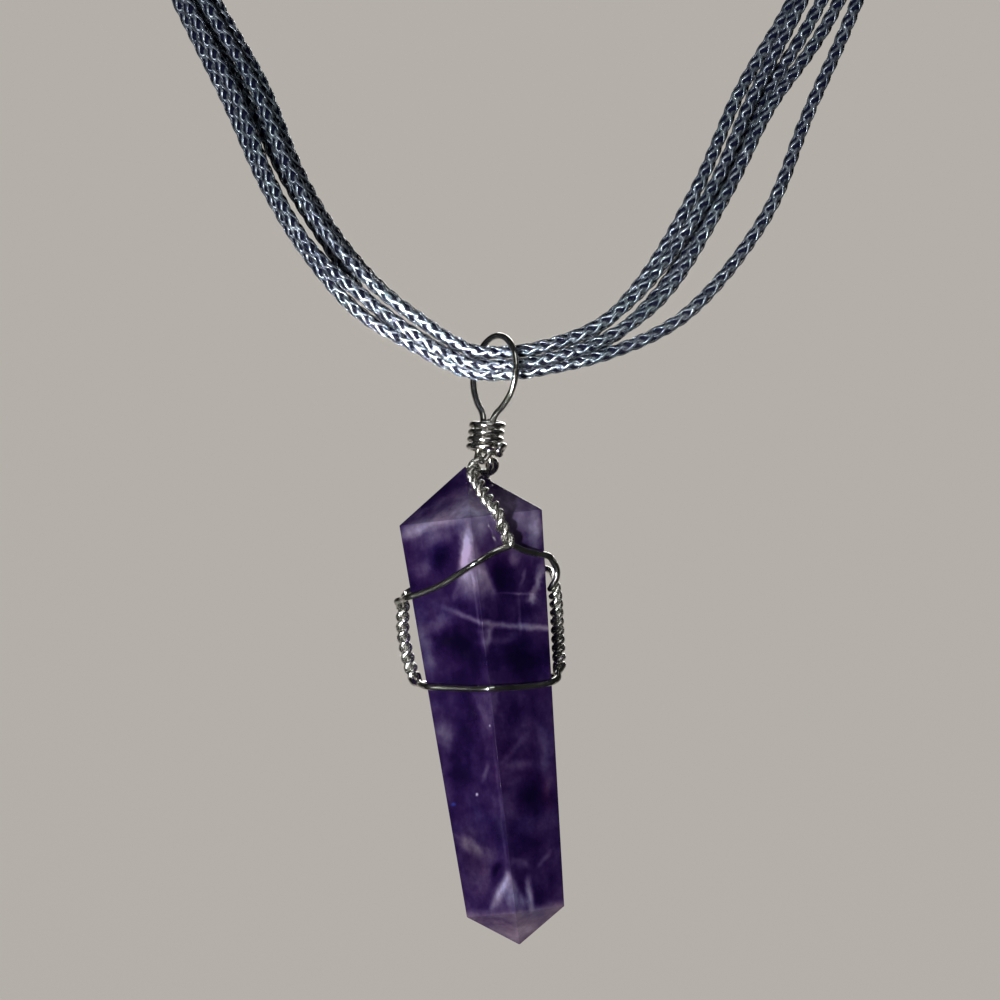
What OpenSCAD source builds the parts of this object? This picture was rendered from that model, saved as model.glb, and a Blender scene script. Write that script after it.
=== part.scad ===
/* [Stone] */
// Length of the crystal from point to point
stone_len = 38.5; // [36:0.5:42]
// Width across the flats at the upper shoulder
stone_top_w = 11.4; // [11:0.1:11.6]
// Width across the flats at the lower shoulder
stone_low_w = 7.8; // [7:0.1:8.4]
// Height of the upper point
stone_top_h = 4.1; // [3.9:0.1:4.3]
// Height of the lower point
stone_low_h = 2.8; // [2:0.1:5]
// Depth of the hexagon as a share of a regular one
stone_depth = 0.94; // [0.9:0.01:1]
// Lean of the crystal, its lower point to the right
stone_lean = 6.5; // [6:0.1:7]

/* [Wire] */
// Diameter of the silver wire
wire_d = 0.52; // [0.4:0.01:0.53]
// Radius of the helix of a twisted pair
twist_r = 0.3; // [0.29:0.005:0.3]
// Turns of each twisted pair that runs down to a fork
pair_turns = 4.75; // [3.75:1:4.75]
// Turns of the twisted pair at the left side
left_turns = 3.5; // [2.5:1:3.5]
// Turns of the twisted pair at the right side
right_turns = 4.5; // [3.5:1:4.5]

/* [Bail] */
// Radius of the loop's centre line
bail_r = 2.78; // [2.76:0.01:2.82]
// Height of the loop's curve under its widest place
bail_tall = 3.05; // [3:0.01:3.1]
// Turn of the loop about the vertical, its right side forward
bail_turn = 53; // [52:1:56]
// Lean of the loop and the coil, their top to the right
bail_lean = 8; // [7:0.5:9]
// Height of the strands' centre above the loop's centre
bundle_lift = 0.72; // [0.7:0.01:0.74]
// Radius of the neck coil's centre line
coil_r = 1.2; // [1.18:0.01:1.25]
// Full turns of the neck coil
coil_turns = 4.25; // [3.25:1:4.25]

/* [Necklace] */
// Diameter of one strand
strand_d = 1.12; // [0.9:0.01:1.12]
// Outer diameter of an end cap
cap_d = 4.6; // [4.2:0.1:5]
// Length of an end cap
cap_len = 7; // [6.5:0.1:7.5]
// Diameter of the clasp
clasp_d = 3.8; // [3:0.1:4.6]
// Length of the clasp
clasp_len = 10.8; // [8:0.1:10.8]

/* [Hidden] */

gap = 0.04;
single_lift = wire_d / 2 + gap;
pair_lift = twist_r + wire_d / 2 + gap;
leg_off = 0.42;
leg_join = -5.4;
leg_cut = -4.3;
coil_top = -4.15;
coil_low = -6.6;
wire_sides = 6;
strand_sides = 8;
strand_step = 4;
most_steps = 3;

// The swing axis, through the middle of the strands where the bail hangs on them
hang_at = [0, -105, -117];
loop_at = hang_at - [0, 0, bundle_lift];
// The crystal's upper point, seen from the loop's centre
stone_tip = [-2.4, 0, -7.7];

// Vectors and smooth curves
function unit(v) = v / norm(v);
function square_to(v, t) = unit(v - (v * t) * t);
function place(row) = [row[0], row[1], row[2]];
function step_of(a, b) = max(sqrt(norm(place(b) - place(a))), 0.001);
function slope(a, b, c, h, k) = (b - a) / h - (c - a) / (h + k) + (c - b) / k;
function curve_row(t, i, u) = let(
    b = t[i],
    c = t[i + 1],
    a = i > 0 ? t[i - 1] : 2 * b - c,
    d = i + 2 < len(t) ? t[i + 2] : 2 * c - b,
    h = step_of(a, b),
    k = step_of(b, c),
    l = step_of(c, d),
    m = k * slope(a, b, c, h, k),
    n = k * slope(b, c, d, k, l))
    (2 * u^3 - 3 * u^2 + 1) * b + (u^3 - 2 * u^2 + u) * m
    + (3 * u^2 - 2 * u^3) * c + (u^3 - u^2) * n;
// The table's rows with smooth rows between them, steps to each stretch
function smooth(t, steps) = concat(
    [for (i = [0 : len(t) - 2], j = [0 : steps - 1]) curve_row(t, i, j / steps)],
    [t[len(t) - 1]]);
// The same with as many steps as a stretch is long, up to three
function ringed(t) = concat(
    [for (i = [0 : len(t) - 2]) let(
        steps = min(most_steps, ceil(norm(place(t[i + 1]) - place(t[i])) / strand_step)))
        for (j = [0 : steps - 1]) curve_row(t, i, j / steps)],
    [t[len(t) - 1]]);
// Rows that lead from the end of one stretch of wire to the start of another
function bridge(before, rows, after, steps) = let(
    last = len(before) - 1,
    t = concat([before[last - 1], before[last]], rows, [after[0], after[1]]))
    [for (i = [1 : len(t) - 3], j = [0 : steps - 1])
        if (i + j > 1) curve_row(t, i, j / steps)];
function tangent(p, i) = unit(p[min(i + 1, len(p) - 1)] - p[max(i - 1, 0)]);
function carried(p, start) = [
    for (i = 0, s = square_to(start, tangent(p, 0)); i < len(p);
        i = i + 1, s = i < len(p) ? square_to(s, tangent(p, i)) : s) s];
function run(p, i = 0, so_far = 0) = i >= len(p) - 1 ? [so_far]
    : concat([so_far], run(p, i + 1, so_far + norm(p[i + 1] - p[i])));
function flipped(p) = [for (i = [len(p) - 1 : -1 : 0]) p[i]];

// A round wire or strand along a path, its ends flat
module tube(p, d, sides, start) {
    side = carried(p, start);
    points = [for (i = [0 : len(p) - 1], k = [0 : sides - 1]) let(a = 360 * (k + 0.5) / sides)
        p[i] + d / 2 * (cos(a) * side[i] + sin(a) * cross(tangent(p, i), side[i]))];
    walls = [for (i = [0 : len(p) - 2], k = [0 : sides - 1], half = [0, 1]) let(
        a = i * sides + k,
        b = i * sides + (k + 1) % sides)
        half == 0 ? [a, a + sides, b + sides] : [a, b + sides, b]];
    first = [for (k = [0 : sides - 1]) k];
    last = [for (k = [sides - 1 : -1 : 0]) (len(p) - 1) * sides + k];
    polyhedron(points, concat([first], walls, [last]), convexity = 10);
}

// The crystal: depth below the upper point, half width across the flats
shoulder_deep = stone_len - stone_low_h;
face_tilt = atan(stone_top_h / (stone_top_w / 2));
function side_flat(t) = (stone_top_w + (stone_low_w - stone_top_w)
    * (t - stone_top_h) / (shoulder_deep - stone_top_h)) / 2;
function flat(t, lift) = min(t / tan(face_tilt) + lift / sin(face_tilt), side_flat(t) + lift);
function in_stone(s, y, t) = stone_tip
    + s * [cos(stone_lean), 0, sin(stone_lean)] + [0, y, 0]
    + t * [sin(stone_lean), 0, -cos(stone_lean)];
function hex_reach(az) = 1 / cos((az + 390) % 60 - 30);
// A point off the crystal's faces: azimuth with the front at -90, depth below the point, lift
function on_stone(az, t, lift) = let(r = flat(t, lift) * hex_reach(az))
    in_stone(r * cos(az), stone_depth * r * sin(az), t);
// Rows of azimuth, depth and extra lift laid on the crystal
function laid(rows, lift) = [for (row = rows) on_stone(row[0], row[1], lift + row[2])];

module amethyst_point() {
    hex = [for (t = [stone_top_h, shoulder_deep], k = [0 : 5]) on_stone(30 + 60 * k, t, 0)];
    points = concat([in_stone(0, 0, 0)], hex, [in_stone(0, 0, stone_len)]);
    upper = [for (k = [0 : 5]) [0, 1 + (k + 1) % 6, 1 + k]];
    sides = [for (k = [0 : 5], half = [0, 1]) let(a = 1 + k, b = 1 + (k + 1) % 6)
        half == 0 ? [a, b, b + 6] : [a, b + 6, a + 6]];
    lower = [for (k = [0 : 5]) [13, 7 + k, 7 + (k + 1) % 6]];
    color("rebeccapurple") translate(loop_at) polyhedron(points, concat(upper, sides, lower));
}

// The loop, its legs and the coil lean together
function leaned(p) = [
    p[0] * cos(bail_lean) + p[2] * sin(bail_lean),
    p[1],
    p[2] * cos(bail_lean) - p[0] * sin(bail_lean)];
function in_loop(u, w) = leaned([u * cos(bail_turn), -u * sin(bail_turn), w]);
function corner(x, y, w) = leaned([x * leg_off, y * leg_off, w]);

// Routes round the crystal: azimuth, depth below the point, extra lift
front_pair = [[-74, 0.6, 0.06], [-74, 1.8, 0.04], [-73, 2.9, 0.02], [-71, 3.8, 0.02],
    [-68, 4.9, 0], [-62, 6.6, 0]];
back_pair = [[62, 0.9, 0.3], [66, 1.9, 0.05], [70, 2.9, 0.02], [74, 3.8, 0.02],
    [78, 4.9, 0.02], [84, 6.8, 0.1]];
front_fork_left = [[-74, 6.95, 0.1], [-90, 7.7, 0.02], [-103, 8.4, 0], [-120, 9.1, 0],
    [-138, 9.6, 0], [-150, 9.85, 0.05], [-163, 10, 0.45], [-173, 10.1, 0.95]];
front_fork_right = [[-50, 7.15, 0.1], [-40, 7.5, 0], [-31, 7.85, 0.14], [-25, 8.35, 0.38],
    [-21, 9, 0.62], [-20, 9.7, 0.55], [-19, 10.15, 0.25]];
back_fork_left = [[93, 7.25, 0.16], [108, 8, 0], [128, 8.8, 0], [150, 9.5, 0.05],
    [165, 9.9, 0.4]];
back_fork_right = [[72, 7.2, 0.1], [56, 7.8, 0], [42, 8.5, 0], [30, 9.05, 0.08],
    [18, 9.42, 0.3], [5, 9.7, 0.4], [-7, 9.95, 0.46]];
side_left = [[-180, 10.5, 0.25], [-180, 11.5, 0.45], [-180, 12.6, 0.62], [-180, 14, 0.62],
    [-179, 15.3, 0.52], [-176, 16.2, 0.32]];
side_right = [[-14, 10.4, 0.02], [-9, 11.3, 0.12], [-3, 13.2, 0.13], [-1, 15.3, 0.12],
    [-4, 16.6, 0.12]];
front_band = [[-167, 16.65, 0.27], [-156, 16.87, 0.17], [-145, 17.08, 0.14], [-130, 17.3, 0.03],
    [-108, 17.55, 0], [-90, 17.7, 0.02], [-70, 17.85, 0], [-48, 17.92, 0.02], [-35, 17.85, 0.12],
    [-25, 17.62, 0.2], [-15, 17.2, 0.3]];
back_band = [[179, 16.65, 0.8], [168, 16.87, 0.4], [156, 16.97, 0.18], [145, 17.07, 0.14],
    [130, 17.2, 0.03], [108, 17.4, 0], [90, 17.5, 0.02], [70, 17.6, 0], [48, 17.65, 0.02],
    [35, 17.6, 0.12], [25, 17.45, 0.16], [13, 17.25, 0.16], [2, 17, 0.12]];

pair_rings = 9;
// One wire of a twisted pair along the pair's centre line
function twisted(line, turns, phase) = let(far = run(line), total = far[len(far) - 1])
    [for (i = [0 : len(line) - 1]) let(
        t = tangent(line, i),
        side = square_to([1, 0, 0], t),
        a = phase + 360 * turns * far[i] / total)
        line[i] + twist_r * (cos(a) * side + sin(a) * cross(t, side))];
// A centre line cut into steps that suit the number of turns
function even(rows, turns) = let(
    fine = smooth(rows, 12),
    far = run(fine),
    total = far[len(far) - 1],
    count = ceil(turns * pair_rings))
    [for (i = [0 : count]) let(
        want = total * i / count,
        j = min(max([for (k = [0 : len(far) - 1]) if (far[k] <= want + 0.0001) k]), len(fine) - 2),
        u = (want - far[j]) / (far[j + 1] - far[j]))
        fine[j] + u * (fine[j + 1] - fine[j])];

// The whole cage wire: down a pair, left fork, left twist, band, right twist, right fork, up the pair
module cage_wire(front, start, pair, fork_left, fork_right, band, phases) {
    line = even(concat(start, laid(pair, pair_lift)), pair_turns);
    left = even(laid(side_left, pair_lift), left_turns);
    right = even(laid(side_right, pair_lift), right_turns);
    down = twisted(line, pair_turns, phases[0]);
    up = flipped(twisted(line, pair_turns, phases[0] + 180));
    left_twist = twisted(left, left_turns, phases[1]);
    right_twist = flipped(twisted(right, right_turns, phases[2]));
    leg_left = [corner(-1, front, front < 0 ? leg_cut : leg_join - gap),
        corner(-1, front, -6.2), corner(-1, front, -6.8)];
    leg_right = [corner(1, front, -6.8), corner(1, front, -6.2),
        corner(1, front, front < 0 ? leg_join - gap : leg_cut)];
    path = concat(
        leg_left, down,
        bridge(down, laid(fork_left, single_lift), left_twist, 3),
        left_twist,
        bridge(left_twist, laid(band, single_lift), right_twist, 3),
        right_twist,
        bridge(right_twist, laid(flipped(fork_right), single_lift), up, 3),
        up, leg_right);
    color("silver") translate(loop_at) tube(path, wire_d, wire_sides, [0, 1, 0]);
}

module front_cage_wire() cage_wire(-1, [[-1.2, -0.62, -7.2], [-1.6, -1.15, -7.65]], front_pair,
    front_fork_left, front_fork_right, front_band, [180, 165, 160]);

module back_cage_wire() cage_wire(1, [[-0.7, 0.62, -7.2], [-0.2, 1.25, -7.6]], back_pair,
    back_fork_left, back_fork_right, back_band, [180, -15, -20]);

module bail_loop() {
    bail_open = 130;
    legs = [[leg_off * sqrt(2), leg_join], [leg_off * sqrt(2), -4.6], [0.63, -4.05], [0.9, -3.5],
        [1.62, -2.85]];
    right = [for (p = legs) in_loop(p[0], p[1])];
    left = [for (p = flipped(legs)) in_loop(-p[0], p[1])];
    ring = [for (a = [bail_open : -10 : -bail_open])
        in_loop(bail_r * sin(a), bail_r + bail_tall * (cos(a) - 1))];
    color("silver") translate(loop_at)
        tube(smooth(concat(right, ring, left), 2), wire_d, wire_sides, [0, 1, 0]);
}

// The coil winds down clockwise from the back and ends in a curl at its right
module neck_coil() {
    step = 30;
    coil = [for (a = [0 : step : 360 * coil_turns - step]) let(
        w = coil_top + (coil_low - coil_top) * a / (360 * coil_turns))
        leaned([coil_r * cos(90 - a), coil_r * sin(90 - a), w])];
    // Rows of azimuth, distance from the coil's middle and height
    curl = [[0, 1.45, -6.1], [-22, 1.66, -5.9], [-42, 1.78, -6], [-50, 1.8, -6.35],
        [-38, 1.7, -6.65]];
    tail = [for (row = curl) leaned([row[1] * cos(row[0]), row[1] * sin(row[0]), row[2]])];
    color("silver") translate(loop_at)
        tube(concat(coil, smooth(tail, 2)), wire_d, wire_sides, [0, 0, 1]);
}

// Places of the five strands in the bundle, up the front of the loop and out from the wearer
bundle = [-0.97, 0, -0.3, 0.92, -0.3, -0.92, 0.78, 0.57, 0.78, -0.57];
side_by_side = [-1.3, -0.1, -0.65, 0.9, 0, -0.55, 0.65, 0.6, 1.3, -0.5];
// Rows from the nape round the left side, down to the bail and back up the right side:
// x, y and z of the middle, then up and out for each strand
strand_rows = [
    concat([-7.4, 2.3, 0], bundle),
    concat([-13.4, 2.3, 0], bundle),
    concat([-28, -3, -0.5], side_by_side),
    concat([-43, -14, -1.5], side_by_side),
    concat([-54, -31, -4], side_by_side),
    concat([-58, -51, -10], side_by_side),
    concat([-56, -70, -20], side_by_side),
    concat([-49, -88, -36], side_by_side),
    concat([-38, -99, -59], side_by_side),
    [-24, -104, -88, -1.3, -0.1, -0.64, 0.9, -0.1, -0.55, 0.66, 0.6, 1.3, -0.5],
    [-20, -104.5, -95.5, -1.54, -0.2, -0.75, 0.75, -0.1, -0.7, 0.9, 0.5, 1.5, -0.55],
    [-17, -105, -102.5, -1.4, -0.45, -0.9, 0.62, 0.3, -1.25, 0.9, 0.5, 1.4, -0.56],
    [-14, -105, -107.5, -1.33, -0.5, -0.87, 0.6, 0.4, -1.45, 0.87, 0.6, 1.35, -0.5],
    [-10, -105, -112, -1.4, -0.1, -0.2, 0.7, -0.2, -0.95, 1.03, 0.6, 1.2, -0.62],
    [-6, -105, -114.8, -1.05, 0.05, -0.3, 0.94, -0.3, -0.94, 0.9, 0.55, 0.95, -0.62],
    concat([-3.6, -105, -116.2], bundle),
    concat([-1.6, -105, -117], bundle),
    concat([1.6, -105, -117], bundle),
    concat([3.6, -105, -116.7], bundle),
    [8.4, -105, -115.2, -1.35, 0.1, -0.2, 0.85, -0.4, -0.8, 1, 0.55, 0.85, -0.7],
    [12.5, -105, -111.3, -3.35, 0, -1, 0.55, -0.6, -0.7, 0.6, 0.6, 1, -0.6],
    [17.4, -105, -103.3, -4.75, 0, -1.1, 0.35, -0.6, -0.8, 0.1, 0.5, 1.15, -0.45],
    [20.8, -104.5, -96.1, -4.4, 0, -1.3, 0.3, -0.5, -0.6, 0.3, 0.45, 1.35, -0.45],
    [25.6, -104, -88.4, -3.1, 0, -1.6, 0.3, -0.4, -0.35, 1.1, 0.7, 1.65, -0.4],
    [38, -99, -60, -1.8, -0.1, -0.65, 0.9, 0, -0.55, 0.65, 0.6, 1.3, -0.5],
    concat([49, -88, -36], side_by_side),
    concat([56, -70, -20], side_by_side),
    concat([58, -51, -10], side_by_side),
    concat([54, -31, -4], side_by_side),
    concat([43, -14, -1.5], side_by_side),
    concat([28, -3, -0.5], side_by_side),
    concat([13.4, 2.3, 0], bundle),
    concat([7.4, 2.3, 0], bundle)];
neck_middle = -55;
neck_r = 58;

module strand(k) {
    rows = ringed(strand_rows);
    mids = [for (row = rows) place(row)];
    path = [for (i = [0 : len(rows) - 1]) let(
        row = rows[i],
        t = tangent(mids, i),
        away = unit([(row[0] / neck_r)^3, (row[1] - neck_middle) / neck_r, 0]),
        out = square_to(away, t))
        place(row) + row[3 + 2 * k] * cross(out, t) + row[4 + 2 * k] * out];
    color("slategray") tube(path, strand_d, strand_sides, [0, 0, 1]);
}

module strand_1() strand(0);
module strand_2() strand(1);
module strand_3() strand(2);
module strand_4() strand(3);
module strand_5() strand(4);

// The strands' ends sit in the cap's bore, 0.2 mm from its bottom
cap_start = 5.6;
bore_d = 3.4;
bore_start = 7.2;
module end_cap() {
    translate([0, cap_d / 2, 0]) rotate([0, 90, 0]) translate([0, 0, cap_start]) difference() {
        cylinder(h = cap_len, d = cap_d, $fn = 48);
        translate([0, 0, bore_start - cap_start]) cylinder(h = cap_len, d = bore_d, $fn = 48);
    }
}
module end_cap_right() color("silver") end_cap();
module end_cap_left() color("silver") mirror([1, 0, 0]) end_cap();
module clasp() color("silver") translate([-clasp_len / 2, cap_d / 2, 0]) rotate([0, 90, 0])
    cylinder(h = clasp_len, d = clasp_d, $fn = 48);

amethyst_point();
front_cage_wire();
back_cage_wire();
bail_loop();
neck_coil();
strand_1();
strand_2();
strand_3();
strand_4();
strand_5();
end_cap_left();
end_cap_right();
clasp();
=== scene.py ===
import math

import bmesh
import bpy
import numpy as np
from mathutils import Matrix, Vector


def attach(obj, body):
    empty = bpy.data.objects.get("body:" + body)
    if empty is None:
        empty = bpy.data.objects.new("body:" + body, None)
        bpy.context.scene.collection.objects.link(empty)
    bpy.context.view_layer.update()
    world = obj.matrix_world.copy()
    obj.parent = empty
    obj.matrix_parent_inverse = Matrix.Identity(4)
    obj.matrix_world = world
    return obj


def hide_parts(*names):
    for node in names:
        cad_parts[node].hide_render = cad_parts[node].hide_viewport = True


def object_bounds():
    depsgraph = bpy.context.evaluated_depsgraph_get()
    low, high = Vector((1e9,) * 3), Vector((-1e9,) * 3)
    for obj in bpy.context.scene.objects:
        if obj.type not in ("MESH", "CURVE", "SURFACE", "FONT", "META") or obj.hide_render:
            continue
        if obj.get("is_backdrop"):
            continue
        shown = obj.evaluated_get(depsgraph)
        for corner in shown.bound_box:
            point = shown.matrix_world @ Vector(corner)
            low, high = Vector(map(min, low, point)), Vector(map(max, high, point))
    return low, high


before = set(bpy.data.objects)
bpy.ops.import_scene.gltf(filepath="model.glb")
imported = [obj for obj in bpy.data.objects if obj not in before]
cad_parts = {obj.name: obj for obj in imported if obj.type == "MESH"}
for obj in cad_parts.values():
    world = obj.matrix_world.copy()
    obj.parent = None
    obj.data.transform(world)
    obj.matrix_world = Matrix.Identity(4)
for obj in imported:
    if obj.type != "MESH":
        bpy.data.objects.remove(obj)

cadBox = [list(corner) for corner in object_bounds()]
mm = 0.001
scene = bpy.context.scene
scene.view_settings.view_transform = "Standard"

print("camera")
photo = {
    "lookAt": [0.4, -105, -128.1],  # middle of the picture, mm
    "field": 80,  # mm across at the pendant
    "distance": 480,
    "sensor": 36,
}
cameraData = bpy.data.cameras.new("photoCamera")
cameraData.sensor_width = photo["sensor"]
cameraData.lens = photo["sensor"] * photo["distance"] / photo["field"]
cameraData.clip_start = 10 * mm
camera = bpy.data.objects.new("photoCamera", cameraData)
scene.collection.objects.link(camera)
camera.location = Vector(photo["lookAt"]) * mm - Vector((0, photo["distance"] * mm, 0))
camera.rotation_euler = (math.radians(90), 0, 0)
scene.camera = camera


# Small helpers for vectors, in mm until a mesh is made
def unit(v):
    v = np.asarray(v, float)
    return v / np.linalg.norm(v, axis=-1, keepdims=True)


def squareTo(v, t):
    return unit(v - np.sum(v * t, axis=-1, keepdims=True) * t)


def along(points):  # distance from the first point to each one
    steps = np.linalg.norm(np.diff(points, axis=0), axis=1)
    return np.concatenate([[0], np.cumsum(steps)])


def headings(points):
    padded = np.vstack([points[:1], points, points[-1:]])
    return unit(padded[2:] - padded[:-2])


def smoothRows(rows, steps):  # a soft curve through every row, x, y and z first
    rows = np.asarray(rows, float)
    ends = [2 * rows[0] - rows[1], 2 * rows[-1] - rows[-2]]
    full = np.vstack([ends[0], rows, ends[1]])
    pace = np.sqrt(np.linalg.norm(np.diff(full[:, :3], axis=0), axis=1)).clip(0.001)[:, None]
    u = np.arange(steps)[:, None] / steps
    out = []
    for i in range(len(rows) - 1):
        a, b, c, d = full[i:i + 4]
        early, mid, late = pace[i:i + 3]
        m = mid * ((b - a) / early - (c - a) / (early + mid) + (c - b) / mid)
        n = mid * ((c - b) / mid - (d - b) / (mid + late) + (d - c) / late)
        out.append((2 * u**3 - 3 * u**2 + 1) * b + (u**3 - 2 * u**2 + u) * m
                   + (3 * u**2 - 2 * u**3) * c + (u**3 - u**2) * n)
    return np.vstack(out + [rows[-1:]])


def fieldAlong(field, far, wanted):  # vectors known at distances far, read at the wanted ones
    return np.column_stack([np.interp(wanted, far, column) for column in field.T])


def placeAlong(points, wanted):  # points at these distances along a line
    return fieldAlong(points, along(points), wanted)


def transported(points, start):  # a side direction carried along a line without twist
    t = headings(points)
    sides = [squareTo(np.asarray(start, float), t[0])]
    for heading in t[1:]:
        sides.append(squareTo(sides[-1], heading))
    return np.array(sides)


def makeObject(name, points, faces, materials, slots=None):
    mesh = bpy.data.meshes.new(name)
    mesh.from_pydata((np.asarray(points) * mm).tolist(), [], faces)
    mesh.polygons.foreach_set("use_smooth", [True] * len(mesh.polygons))
    for material in materials:
        mesh.materials.append(material)
    if slots is not None:
        mesh.polygons.foreach_set("material_index", slots)
    mesh.update()
    piece = bpy.data.objects.new(name, mesh)
    scene.collection.objects.link(piece)
    return piece


def ringFaces(rings, sides, first=0):  # the walls between rings of a tube, then its two ends
    i, k = np.meshgrid(np.arange(rings - 1), np.arange(sides), indexing="ij")
    a = first + i * sides + k
    b = first + i * sides + (k + 1) % sides
    walls = np.stack([a, a + sides, b + sides, b], axis=-1).reshape(-1, 4)
    last = first + (rings - 1) * sides
    return walls.tolist() + [list(range(first, first + sides)), list(range(last + sides - 1, last - 1, -1))]


def tube(points, radius, sides, start):  # a wire, its cut ends filed round
    points = np.asarray(points, float)
    side = transported(points, start)
    t = headings(points)
    radii = radius * np.concatenate([[0.62, 0.9], np.ones(len(points)), [0.9, 0.62]])
    outer, inner = 0.45 * radius, 0.18 * radius
    points = np.vstack([points[0] - outer * t[0], points[0] - inner * t[0], points,
                        points[-1] + inner * t[-1], points[-1] + outer * t[-1]])
    side = np.vstack([side[:1], side[:1], side, side[-1:], side[-1:]])
    t = np.vstack([t[:1], t[:1], t, t[-1:], t[-1:]])
    a = 2 * np.pi * (np.arange(sides) + 0.5) / sides
    around = (np.cos(a)[None, :, None] * side[:, None, :]
              + np.sin(a)[None, :, None] * np.cross(t, side)[:, None, :])
    rings = points[:, None, :] + radii[:, None, None] * around
    return rings.reshape(-1, 3), ringFaces(len(points), sides)


# Small helpers for materials
def newMaterial(name):
    material = bpy.data.materials.new(name)
    material.use_nodes = True
    return material, material.node_tree, material.node_tree.nodes["Principled BSDF"]


def feed(tree, socket, value):
    if isinstance(value, bpy.types.NodeSocket):
        tree.links.new(value, socket)
    else:
        socket.default_value = value


def calc(tree, operation, *values):
    node = tree.nodes.new("ShaderNodeMath")
    node.operation = operation
    for socket, value in zip(node.inputs, values):
        feed(tree, socket, value)
    return node.outputs[0]


def vectorCalc(tree, operation, *values):  # a number for DOT_PRODUCT, else a vector
    node = tree.nodes.new("ShaderNodeVectorMath")
    node.operation = operation
    for socket, value in zip(node.inputs, values):
        feed(tree, socket, value)
    return node.outputs["Value" if operation == "DOT_PRODUCT" else "Vector"]


def blendColor(tree, share, first, second, how="MIX"):
    node = tree.nodes.new("ShaderNodeMix")
    node.data_type = "RGBA"
    node.blend_type = how
    feed(tree, node.inputs["Factor"], share)
    feed(tree, node.inputs[6], first)
    feed(tree, node.inputs[7], second)
    return node.outputs[2]


def noiseAt(tree, place, scale, detail=3, rough=0.55, kind="FBM"):
    node = tree.nodes.new("ShaderNodeTexNoise")
    node.noise_type = kind
    feed(tree, node.inputs["Vector"], place)
    node.inputs["Scale"].default_value = scale
    node.inputs["Detail"].default_value = detail
    node.inputs["Roughness"].default_value = rough
    return node


def fade(tree, value, low, high):  # 0 at low, 1 at high, soft between them
    node = tree.nodes.new("ShaderNodeMapRange")
    node.interpolation_type = "SMOOTHSTEP"
    feed(tree, node.inputs["Value"], value)
    feed(tree, node.inputs["From Min"], low)
    feed(tree, node.inputs["From Max"], high)
    return node.outputs[0]


def objectPlace(tree):  # place on the object in mm
    coordinate = tree.nodes.new("ShaderNodeTexCoord")
    scaled = tree.nodes.new("ShaderNodeVectorMath")
    scaled.operation = "SCALE"
    tree.links.new(coordinate.outputs["Object"], scaled.inputs[0])
    scaled.inputs["Scale"].default_value = 1 / mm
    return scaled.outputs[0]


def bump(tree, height, distance, strength, normal=None):
    node = tree.nodes.new("ShaderNodeBump")
    node.inputs["Strength"].default_value = strength
    node.inputs["Distance"].default_value = distance * mm
    feed(tree, node.inputs["Height"], height)
    if normal is not None:
        feed(tree, node.inputs["Normal"], normal)
    return node.outputs[0]


print("backdrop and lights")
stageLook = {
    "floorHeight": -420,
    "halfWidth": 4000,
    "nearEnd": -4000,
    "seam": 100,  # where the near floor ends
    "wallAt": 1850,  # mm behind the nape, further than any camera stands
    "wallTop": 700,
    "sweep": 600,  # radius between floor and wall
    "sweepSteps": 24,
    "tone": (0.55, 0.52, 0.48, 1),
    "roughness": 0.9,
    "pale": (0.46, 0.435, 0.4, 1),  # what the camera sees of the paper, and past it
    "evenness": 0.9,  # share of the paper's tone that the lights leave alone
    "room": (0.012, 0.012, 0.012, 1),  # what lights and mirrors see
}


def makeFloor(look):
    steps = look["sweepSteps"]
    low = look["floorHeight"]
    line = [(look["nearEnd"], low), (look["seam"], low)]
    for i in range(steps + 1):
        a = math.pi / 2 * i / steps
        line.append((look["wallAt"] - look["sweep"] + look["sweep"] * math.sin(a),
                     low + look["sweep"] * (1 - math.cos(a))))
    line.append((look["wallAt"], look["wallTop"]))
    points = [(x, y, z) for y, z in line for x in (-look["halfWidth"], look["halfWidth"])]
    faces = [[2 * i, 2 * i + 1, 2 * i + 3, 2 * i + 2] for i in range(len(line) - 1)]
    paper, tree, shader = newMaterial("palePaper")
    paper.cycles.emission_sampling = "NONE"  # it sheds no light
    shader.inputs["Base Color"].default_value = look["tone"]
    shader.inputs["Roughness"].default_value = look["roughness"]
    even = tree.nodes.new("ShaderNodeEmission")
    even.inputs["Color"].default_value = look["pale"]
    ray = tree.nodes.new("ShaderNodeLightPath")
    mix = tree.nodes.new("ShaderNodeMixShader")
    share = calc(tree, "MULTIPLY", ray.outputs["Is Camera Ray"], look["evenness"])
    for socket, value in zip(mix.inputs, (share, shader.outputs[0], even.outputs[0])):
        tree.links.new(value, socket)
    tree.links.new(mix.outputs[0], tree.nodes["Material Output"].inputs["Surface"])
    nearFloor = makeObject("nearFloor", points[:4], faces[:1], [paper])
    nearFloor.visible_glossy = False  # the wires would be too pale with it
    nearFloor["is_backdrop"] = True
    makeObject("paleFloor", points[2:], faces[:-1], [paper])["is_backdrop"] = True


def makeLights(looks):
    for name, look in looks.items():
        data = bpy.data.lights.new(name, "AREA")
        data.size = look["size"] * mm
        data.energy = look["watts"]
        lamp = bpy.data.objects.new(name, data)
        scene.collection.objects.link(lamp)
        lamp.location = Vector(look["at"]) * mm
        aim = Vector(look["aim"]) * mm
        lamp.rotation_euler = (aim - lamp.location).to_track_quat("-Z", "Y").to_euler()
        lamp.visible_camera = False
        if "beam" in look:
            data.spread = math.radians(look["beam"])
            lamp.visible_diffuse = False
        if "mirrored" in look:
            lamp.visible_glossy = look["mirrored"]


def makeWorld(look):
    world = bpy.data.worlds.new("studio")
    world.use_nodes = True
    tree = world.node_tree
    ray = tree.nodes.new("ShaderNodeLightPath")
    seen = blendColor(tree, ray.outputs["Is Camera Ray"], look["room"], look["pale"])
    tree.links.new(seen, tree.nodes["Background"].inputs["Color"])
    scene.world = world


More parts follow.
